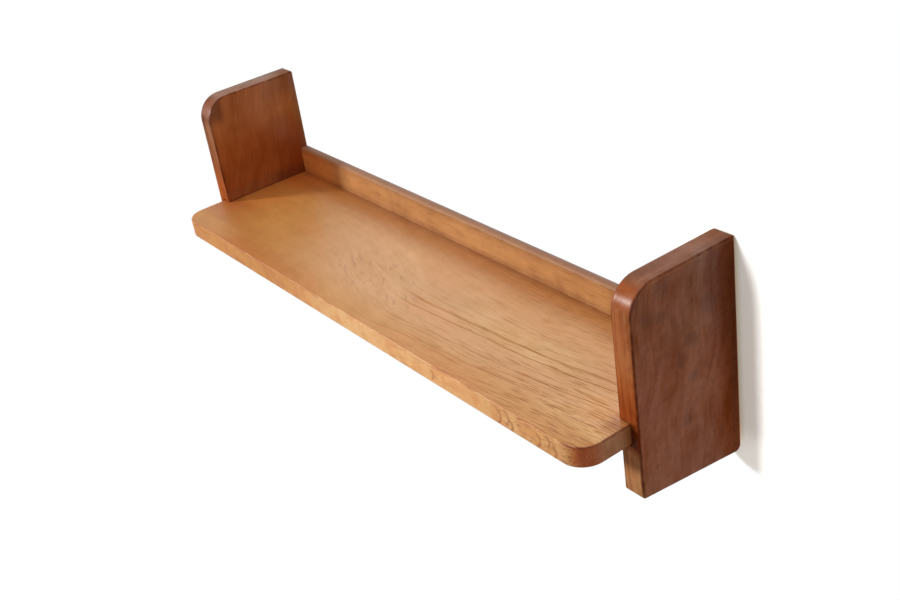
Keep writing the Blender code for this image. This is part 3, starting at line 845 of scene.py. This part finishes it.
class Group:
    """A geometry node tree: input() names its inputs, instances() ends it and grow() uses it."""

    def __init__(self, name):
        self.tree = bpy.data.node_groups.new(name, "GeometryNodeTree")
        self.tree.interface.new_socket("Geometry", in_out="OUTPUT", socket_type="NodeSocketGeometry")
        self.tree.interface.new_socket("Geometry", in_out="INPUT", socket_type="NodeSocketGeometry")
        self.node = Wire(self.tree).node
        self.keys = {}
        self.values = {}

    def input(self, name, value, kind="Float"):
        socket = self.tree.interface.new_socket(name, in_out="INPUT", socket_type="NodeSocket" + kind)
        self.keys[name] = socket.identifier
        self.values[name] = value
        return self.node("NodeGroupInput", output=name)

    def turned(self, rows, sides, radius, depth):
        """A closed turned body: radius(row, turn) and depth(row) give each row of its profile."""
        grid = self.node(
            "GeometryNodeMeshGrid", None,
            {"Size X": 1.0, "Size Y": rows - 1, "Vertices X": sides + 1, "Vertices Y": rows},
        )
        across, along, _ = parted(self.node("GeometryNodeInputPosition"))
        turn = (across + 0.5) * (2 * math.pi)
        row = along + (rows - 1) / 2
        reach = radius(row, turn)
        spot = self.node(
            "ShaderNodeCombineXYZ", None,
            {0: reach * turn.math("COSINE"), 1: reach * turn.math("SINE"), 2: depth(row)},
        )
        body = self.node("GeometryNodeSetPosition", None, {"Geometry": grid, "Position": spot})
        return self.node("GeometryNodeMergeByDistance", None, {"Geometry": body, "Distance": SAME_SPOT})

    def instances(self, body, rotation, finish):
        """The body on every point, as one real mesh in its material."""
        points = self.node("NodeGroupInput", output="Geometry")
        placed = self.node(
            "GeometryNodeInstanceOnPoints", None, {"Points": points, "Instance": body, "Rotation": rotation}
        )
        real = self.node("GeometryNodeRealizeInstances", None, {"Geometry": placed})
        dressed = self.node("GeometryNodeSetMaterial", None, {"Geometry": real, "Material": finish})
        self.node("NodeGroupOutput", None, {"Geometry": dressed})

    def grow(self, name, feet, changes=None):
        """An object whose points are feet, grown by this tree, with changes to its named inputs."""
        mesh = bpy.data.meshes.new(name)
        mesh.from_pydata(feet, [], [])
        piece = added(name, mesh)
        growth = piece.modifiers.new(name, "NODES")
        growth.node_group = self.tree
        for key, value in {**self.values, **(changes or {})}.items():
            growth[self.keys[key]] = value
        return piece


def ramp(row, first, last, start, stop):
    """A straight run from start at row first to stop at row last, and level on either side."""
    return row.node("ShaderNodeMapRange", None, {0: row, 1: first, 2: last, 3: start, 4: stop})


def four_feet(across, depth, middle, reach):
    """One foot at each end of the shelf, under and over a middle height."""
    return [(side * across, depth, middle + level * reach) for side in (-1, 1) for level in (-1, 1)]


def four_nodes(kind):
    return [f"{side}_{level}_{kind}" for side in ("left", "right") for level in ("lower", "upper")]


beech = wood(
    "beech", grain=(0, 1, 2), heart=(0.40, 0.30, 0.0, 0.0), light=(0.66, 0.47, 0.28), dark=(0.50, 0.32, 0.17),
    red=(0.60, 0.38, 0.22), pore=(0.36, 0.20, 0.10), seed=4.4, ring=0.0016, years=0.22, fibres=0.30,
    patches=0.20, mottle=0.20, ticks=0.30, roughness=0.62, specular=0.4,
)
pins = Group("fluted_pins")
pin_radius = pins.input("Radius", DOWEL_RADIUS)
pin_length = pins.input("Length", DOWEL_LENGTH)
pin_chamfer = pins.input("Chamfer", 0.0008)
flute_count = pins.input("Flutes", 12.0)
flute_depth = pins.input("Flute Depth", 0.00022)
pin_finish = pins.input("Finish", beech, "Material")


def pin_reach(row, turn):
    flute = (turn * flute_count).math("COSINE").between(0.1, 0.9)
    smooth = ramp(row, 0, 1, 0.0, pin_radius - pin_chamfer) + ramp(row, 1, 2, 0.0, pin_chamfer)
    smooth = smooth - ramp(row, 3, 4, 0.0, pin_chamfer) - ramp(row, 4, 5, 0.0, pin_radius - pin_chamfer)
    return smooth - flute * flute_depth * ramp(row, 0, 1, 0.0, 1.0) * ramp(row, 4, 5, 1.0, 0.0)


def pin_depth(row):
    ends = ramp(row, 1, 2, 0.0, pin_chamfer) + ramp(row, 3, 4, 0.0, pin_chamfer)
    return ends + ramp(row, 2, 3, 0.0, pin_length - 2 * pin_chamfer) - pin_length / 2


pin = pins.turned(6, DOWEL_SIDES, pin_reach, pin_depth)
lying = pins.node("FunctionNodeEulerToRotation", None, {0: (0.0, math.pi / 2, 0.0)})
pins.instances(pin, lying, pin_finish)
rail_dowels = pins.grow("rail_dowels", four_feet(JOINT_FACE, RAIL_MIDDLE_DEPTH, 0, DOWEL_REACH))
settle(rail_dowels, beech, four_nodes("rail_dowel"))

# Wood screws. Countersunk steel screws with a plain neck, a rolled thread and one slot, each turned
# home to an angle of its own. Three run up through the board into the rail, and two hold each plate.
SCREW_SIDES = 24
SCREW_TIP_ROWS = 16
SCREW_TIP = 1.6  # tip's length in shank radii
SCREW_TIP_RADIUS = 0.0003


def metal(name, bright, dull, spangles, dullness, scratches, seed, tinting=None):
    """Metal with a cloudy face of so many spangles in a metre, fine scratches and dull patches."""
    material, wire = blank_material(name)
    spot = wire.node("ShaderNodeTexCoord", output="Object")
    cells = {"Vector": spot, "Scale": spangles, "Randomness": 1.0}
    spangle = parted(spot.node("ShaderNodeTexVoronoi", None, cells, output="Color"), "Color")[0]
    clouds = clouded(spot, 3.0, 160.0)
    marks = stretched(spot, (5200.0, 5200.0, 60.0), seed, 2.0)
    tone = blended(spangle * 0.35 + clouds.between(0.35, 0.65) * 0.45 + marks * 0.20, bright, dull)
    if tinting:
        tone = tinting(*parted(spot), tone)
    relief = marks * scratches + clouds * 0.5
    shader = spot.node("ShaderNodeBsdfPrincipled", None, {
        "Base Color": tone,
        "Roughness": dullness + (spangle - 0.5) * 0.12 + (clouds - 0.5) * 0.20,
        "Metallic": 1.0,
        "Normal": bumped(relief, 0.25, 0.00005),
    })
    shader.node("ShaderNodeOutputMaterial", None, {0: shader})
    return material


steel = metal(
    "steel", bright=(0.60, 0.59, 0.57), dull=(0.30, 0.28, 0.26), spangles=900.0, dullness=0.34, scratches=0.6,
    seed=3.3,
)
screws = Group("slotted_wood_screws")
head_radius = screws.input("Head Radius", RAIL_SCREW_HEAD)
shank_radius = screws.input("Shank Radius", RAIL_SCREW_SHANK)
screw_length = screws.input("Length", RAIL_SCREW_LENGTH)
thread_pitch = screws.input("Thread Pitch", 0.0018)
thread_depth = screws.input("Thread Depth", 0.0005)
plain_neck = screws.input("Plain Neck", 0.016)
screw_rows = screws.input("Rows", 210.0)
slot_width = screws.input("Slot Width", 0.0008)
slot_depth = screws.input("Slot Depth", 0.0008)
screw_turn = screws.input("Turn", (0.0, 0.0, 0.0), "Vector")
screw_seed = screws.input("Seed", 7, "Int")
screw_finish = screws.input("Finish", steel, "Material")
tip_length = shank_radius * SCREW_TIP


def screw_depth(row):
    cone = head_radius - shank_radius
    body = screw_length - SCREW_RIM - cone - tip_length
    return (
        ramp(row, 1, 2, 0.0, SCREW_RIM) + ramp(row, 2, 3, 0.0, cone)
        + ramp(row, 3, screw_rows - SCREW_TIP_ROWS, 0.0, body)
        + ramp(row, screw_rows - SCREW_TIP_ROWS, screw_rows - 2, 0.0, tip_length)
    )


def screw_reach(row, turn):
    tip = ramp(row, screw_rows - SCREW_TIP_ROWS, screw_rows - 2, 0.0, SCREW_TIP_RADIUS - shank_radius)
    smooth = ramp(row, 0, 1, 0.0, head_radius) + ramp(row, 2, 3, 0.0, shank_radius - head_radius) + tip
    depth = screw_depth(row)
    wave = (depth / thread_pitch + turn / (2 * math.pi)).math("FRACT")
    ridge = 1 - abs((wave - 0.5) * 2)
    started = ramp(depth, plain_neck, plain_neck + thread_pitch, 0.0, 1.0)
    valley = ((1 - ridge ** 1.5) * thread_depth * started).math("MINIMUM", smooth * 0.5)
    return (smooth - valley) * ramp(row, screw_rows - 2, screw_rows - 1, 1.0, 0.0)


screw_body = screws.turned(screw_rows, SCREW_SIDES, screw_reach, screw_depth)
slot_size = screws.node(
    "ShaderNodeCombineXYZ", None, {0: slot_width, 1: head_radius * 3, 2: slot_depth * 2}
)
slot_block = screws.node("GeometryNodeMeshCube", None, {"Size": slot_size})
slotted = screws.node(
    "GeometryNodeMeshBoolean", {"operation": "DIFFERENCE", "solver": "EXACT"}, {0: screw_body, 1: slot_block}
)
standing = screws.node("FunctionNodeEulerToRotation", None, {0: screw_turn})
spin = screws.node(
    "FunctionNodeRandomValue", {"data_type": "FLOAT"}, {3: math.pi, "Seed": screw_seed}, output=1
)
spin_about = screws.node("ShaderNodeCombineXYZ", None, {2: spin})
spun = screws.node("FunctionNodeEulerToRotation", None, {0: spin_about})
turned_home = screws.node(
    "FunctionNodeRotateRotation", {"rotation_space": "LOCAL"}, {0: standing, 1: spun}
)
screws.instances(slotted, turned_home, screw_finish)
rail_screws = screws.grow("rail_screws", RAIL_SCREW_FEET)
settle(rail_screws, steel, [f"rail_screw_{number}" for number in (1, 2, 3)])
plate_screws = screws.grow(
    "plate_screws", four_feet(PANEL_MIDDLE, 0, HANGER_HEIGHT, PLATE_SCREW_REACH),
    {
        "Head Radius": PLATE_SCREW_HEAD, "Shank Radius": PLATE_SCREW_SHANK, "Length": PLATE_SCREW_LENGTH,
        "Thread Pitch": 0.0011, "Thread Depth": 0.0004, "Plain Neck": 0.0045, "Rows": 130.0,
        "Turn": (math.pi / 2, 0.0, 0.0), "Seed": 11,
    },
)
settle(plate_screws, steel, four_nodes("hanger_screw"))

# Hanger plates. Stamped zinc-plated steel, let in flush with the panels' wall edges, each with a
# keyhole for the head and shank of a wall screw and two countersunk holes for its own screws.
PLATE_WIDTH = 0.016
PLATE_LENGTH = 0.060
PLATE_THICKNESS = 0.0015
PLATE_RADIUS = 0.003
PLATE_ARRIS = 0.0002
KEYHOLE_ENTRY_RADIUS = 0.005
KEYHOLE_SLOT_WIDTH = 0.0055
KEYHOLE_TRAVEL = 0.012


def plate_wear(x, y, z, tone):
    """Rubbed bright beside the slot where the wall screw slides, stained dark at the ends."""
    beside = abs(abs(x) - PANEL_MIDDLE).until(0.0026, 0.0046)
    level = abs(z - HANGER_HEIGHT)
    tone = blended(beside * level.until(0.006, 0.012) * 0.6, tone, (0.72, 0.72, 0.70))
    return blended(level.between(0.024, 0.031) * 0.35, tone, (0.28, 0.25, 0.21))


zinc = metal(
    "zinc", bright=(0.66, 0.66, 0.65), dull=(0.40, 0.41, 0.42), spangles=420.0, dullness=0.33, scratches=1.0,
    seed=8.1, tinting=plate_wear,
)
for side_name, side in (("left", -1), ("right", 1)):
    middle = side * PANEL_MIDDLE

    def in_plate(across, height, out):
        return (middle + across, out - PLATE_THICKNESS / 2, HANGER_HEIGHT + height)

    plate = slab(
        side_name + "_plate", rectangle(PLATE_WIDTH, PLATE_LENGTH, PLATE_RADIUS), PLATE_THICKNESS, in_plate,
        arris=PLATE_ARRIS, steps=3, support=2 * PLATE_ARRIS,
    )
    half = KEYHOLE_SLOT_WIDTH / 2
    slot_foot, slot_head = -KEYHOLE_TRAVEL / 2, KEYHOLE_TRAVEL / 2 + half
    slot_corners = [
        (-half, slot_foot, 0, 1), (half, slot_foot, 0, 1),
        (half, slot_head, half - SAME_SPOT, 12), (-half, slot_head, half - SAME_SPOT, 12),
    ]
    cutters = [
        slab(side_name + "_slot", slot_corners, 3 * PLATE_THICKNESS, in_plate),
        turned_cutter(
            side_name + "_entry", rod(KEYHOLE_ENTRY_RADIUS, CUT_PAST),
            foot=(middle, 0, HANGER_HEIGHT - KEYHOLE_TRAVEL / 2), turn=INTO_WALL_EDGE, steps=40,
        ),
    ]
    cutters += [plate_screw_hole(f"{side_name}_countersink_{level}", middle, level) for level in (-1, 1)]
    settle(plate, zinc, [side_name + "_hanger_plate"], cutters)

# Wall and floor. A smooth white wall right behind the shelf and a pale floor well below it. Both
# are seen from the room only. The floor catches the shelf's soft shadow, the wall only the right panel's.
WALL_GAP = 0.0006
FLOOR_HEIGHT = -1.30
ROOM_HEIGHT = 4.0
ROOM_REACH = 6.0  # to either side of the shelf and out from the wall
CLEAR_LENGTH = 0.004  # rays that start nearer than this pass through


def plain_sheet(name, near, far, paint):
    """A painted sheet across the room between two edges, each given as (depth, height)."""
    corners = [(side * ROOM_REACH, *edge) for edge, side in ((near, -1), (near, 1), (far, 1), (far, -1))]
    mesh = bpy.data.meshes.new(name)
    mesh.from_pydata(corners, [], [(0, 1, 2, 3)])
    sheet = added(name, mesh)
    mesh.materials.append(paint)
    return sheet


def sight(wire):
    """The kinds of ray, and 1 for those that show the background: camera, glossy and transmission."""
    rays = wire.node("ShaderNodeLightPath")
    seen = rays + rays.beside("Is Glossy Ray") + rays.beside("Is Transmission Ray")
    return rays, seen.math("MINIMUM", 1.0)


def pale_paint(name, shaded, lift, glow):
    """White paint, plain white but where shaded is 1: there it takes the lamps' light and some lift, a glow
    of painted light.

    It is seen from its front, and clear from behind and to rays that start right in front of it.
    Bounced light finds it darker, so that the shelf isn't washed out from below.
    """
    material, wire = blank_material(name)
    rays, seen = sight(wire)
    x, _, z = parted(wire.node("ShaderNodeTexCoord", output="Object"))
    bounced = blended(seen, (0.30, 0.285, 0.265), (0.92, 0.91, 0.90))
    paint = wire.node("ShaderNodeBsdfDiffuse", None, {"Color": bounced})
    lifted = wire.node("ShaderNodeEmission", None, {"Color": glow(x, z), "Strength": seen * lift(x, z)})
    paint = wire.node("ShaderNodeAddShader", None, {0: paint, 1: lifted})
    white = wire.node("ShaderNodeEmission", None, {"Strength": 1.0})
    paint = wire.node("ShaderNodeMixShader", None, {0: seen * (1 - shaded(x, z)), 1: paint, 2: white})
    clear = wire.node("ShaderNodeBsdfTransparent")
    behind = wire.node("ShaderNodeNewGeometry", output="Backfacing")
    shown = rays.beside("Ray Length").math("GREATER_THAN", CLEAR_LENGTH) * (1 - behind)
    surface = wire.node("ShaderNodeMixShader", None, {0: shown, 1: clear, 2: paint})
    wire.node("ShaderNodeOutputMaterial", None, {0: surface})
    return material


def beside_right_panel(x, z):
    """1 where the wall shows the panel's shadow; the mask paints the bow in which the shadow ends below."""
    bow = z - 12.5 * (x - 0.42) * (x - 0.42)
    return x.inside(0.30, 0.38, 0.445, 0.475) * bow.between(-0.1360, -0.1300) * z.until(0.140, 0.170)


def wall_lift(x, z):
    """Glow of painted light in the shadow, more at its foot."""
    return 0.26 + 0.14 * z.until(-0.106, -0.078)


def wall_glow(x, z):
    """Colour of the glow: painted shade, darker and browner, right beside the panel, but not below it."""
    clear = 1 - x.until(0.3995, 0.4065) * z.between(-0.108, -0.092)
    return blended(clear, (0.66, 0.64, 0.43), (1.0, 0.985, 0.92))


wall_paint = pale_paint("wall_paint", beside_right_panel, wall_lift, wall_glow)
wall = plain_sheet("wall", (WALL_GAP, FLOOR_HEIGHT), (WALL_GAP, ROOM_HEIGHT), wall_paint)
floor_paint = pale_paint(
    "floor_paint", lambda x, z: 1.0, lambda x, z: 0.6, lambda x, z: (1.0, 0.985, 0.96, 1.0)
)
plain_sheet("floor", (-ROOM_REACH, FLOOR_HEIGHT), (WALL_GAP, FLOOR_HEIGHT), floor_paint)

# Light. A lamp at the left in front of the wall, a large soft one overhead, one from behind, an even
# room light, and a lamp near the room's middle that only the wall takes, for the shelf's shadow on it.
world = bpy.data.worlds.new("room")
bpy.context.scene.world = world
world.use_nodes = True
world.node_tree.nodes.clear()
rays, seen = sight(Wire(world.node_tree))
room = rays.node("ShaderNodeBackground", None, {"Color": (1.0, 0.93, 0.85, 1.0), "Strength": 0.36})
white = rays.node("ShaderNodeBackground", None, {"Color": (1.0, 1.0, 1.0, 1.0), "Strength": 1.0})
mixed = rays.node("ShaderNodeMixShader", None, {0: seen, 1: room, 2: white})
rays.node("ShaderNodeOutputWorld", None, {0: mixed})


def lamp(name, aim, towards, distance, width, height, irradiance, colour):
    """An oval lamp that gives its irradiance at aim; towards points from aim to the lamp."""
    light = bpy.data.lights.new(name, "AREA")
    light.shape = "ELLIPSE"
    light.size, light.size_y = width, height
    light.color = colour
    light.energy = irradiance * math.pi * math.pi * distance ** 2
    direction = Vector(towards).normalized()
    stand = added(name, light)
    stand.location = Vector(aim) + direction * distance
    stand.rotation_euler = direction.to_track_quat("Z", "Y").to_euler()
    return stand


key = lamp(
    "key_lamp", aim=(-0.36, -0.12, 0.02), towards=(-0.62, -0.735, 0.33), distance=5.0, width=0.70,
    height=0.70, irradiance=0.82, colour=(1.0, 0.985, 0.96),
)
lamp(
    "overhead_lamp", aim=(0, -0.1, 0), towards=(0.0, -0.35, 1.0), distance=2.4, width=1.8, height=1.8,
    irradiance=0.20, colour=(1.0, 0.98, 0.95),
)
lamp(
    "rear_lamp", aim=(0, 0, 0), towards=(0.3, 1.0, 0.5), distance=3.0, width=1.6, height=1.6,
    irradiance=0.35, colour=(1.0, 0.98, 0.95),
)
wall_lamp = lamp(
    "wall_lamp", aim=(0.39, -0.1, 0), towards=(-0.20, -1.0, 0.36), distance=3.0, width=0.42, height=1.10,
    irradiance=1.0, colour=(1.0, 1.0, 1.0),
)
for stand, keeps in ((wall_lamp, "INCLUDE"), (key, "EXCLUDE")):
    receivers = bpy.data.collections.new(stand.name + "_receivers")
    receivers.objects.link(wall)
    receivers.collection_objects[0].light_linking.link_state = keeps
    stand.light_linking.receiver_collection = receivers

# Camera, standing to the right of the shelf and above it.
camera = bpy.data.cameras.new("camera")
camera.lens = 51.3822
camera.sensor_width = 36.0
tripod = added("camera", camera)
tripod.location = (1.107919, -0.771576, 0.674081)
tripod.rotation_euler = (1.053936, 0.136833, 0.917259)
bpy.context.scene.camera = tripod
bpy.context.scene.view_settings.view_transform = "Standard"
